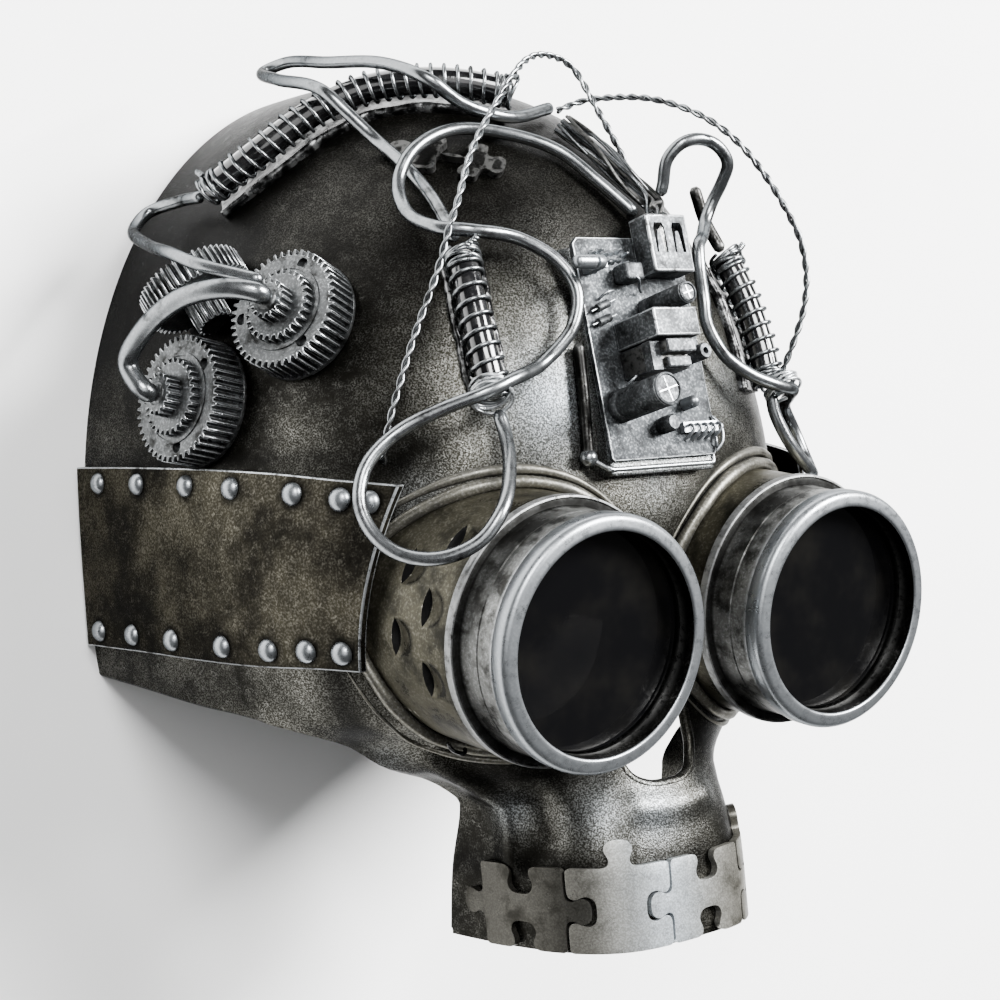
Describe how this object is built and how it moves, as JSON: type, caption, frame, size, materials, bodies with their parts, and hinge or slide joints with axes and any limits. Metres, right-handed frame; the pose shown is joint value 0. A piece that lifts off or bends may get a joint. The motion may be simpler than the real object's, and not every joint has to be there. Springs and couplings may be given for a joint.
{
  "type": "skull mask",
  "caption": "Full-face skull mask with goggle eyes, riveted temple panels, gears, spring tubes, looping hoses, a circuit board on the brow and jigsaw-piece teeth, in worn gunmetal paint",
  "frame": {"origin": "centre of the bounding box's bottom face, in the plane of the rear rim that the mask lies on", "axes": "+X the wearer's left, +Y the crown, +Z the way the face looks, up when the mask lies on its rear rim"},
  "size_m": [0.2008, 0.2398, 0.1747],
  "materials": {
    "gunmetal": "black paint dry-brushed with silver, worn bright on edges",
    "silver": "silver paint with dark wash in the recesses",
    "gloss_black": "glossy black",
    "panel_brown": "dark brown-black, rubbed with silver",
    "dark_glass": "dark tinted, polished",
    "board_grey": "grey metallic paint over circuit parts"
  },
  "bodies": {
    "root": {"skull_shell": "gunmetal", "goggle_cup_right": "gunmetal", "goggle_barrel_right": "gunmetal", "goggle_bezel_right": "silver", "lens_right": "dark_glass", "goggle_cup_left": "gunmetal", "goggle_barrel_left": "gunmetal", "goggle_bezel_left": "silver", "lens_left": "dark_glass", "side_panel_right": "panel_brown", "side_panel_left": "panel_brown", "spring_bed_crest": "gunmetal", "spring_core_crest": "gloss_black", "spring_coil_crest": "silver", "spring_bed_right": "gunmetal", "spring_core_right": "gloss_black", "spring_coil_right": "silver", "spring_bed_left": "gunmetal", "spring_core_left": "gloss_black", "spring_coil_left": "silver", "gear_rear": "silver", "gear_front": "silver", "gear_top": "silver", "hose_crest": "silver", "hose_right": "silver", "hose_left": "silver", "hose_left_stub": "silver", "hose_gear_link": "silver", "hose_gear_feed": "silver", "wire_twist_right": "silver", "wire_twist_left": "silver", "wire_bundle": "gunmetal", "brow_rod": "gloss_black", "tooth_piece_1": "silver", "tooth_piece_2": "silver", "tooth_piece_3": "silver", "tooth_piece_4": "silver", "tooth_piece_5": "silver", "dome_piece": "gunmetal", "circuit_board": "board_grey", "board_pad": "gunmetal", "usb_socket": "silver", "transformer_core": "silver", "transformer_bobbin": "gunmetal", "capacitor_large": "board_grey", "capacitor_small": "silver", "inductor": "board_grey", "film_block": "board_grey", "disc_capacitor": "board_grey", "led": "silver", "pin_row": "silver", "clip_led": "silver"}
  },
  "joints": []
}
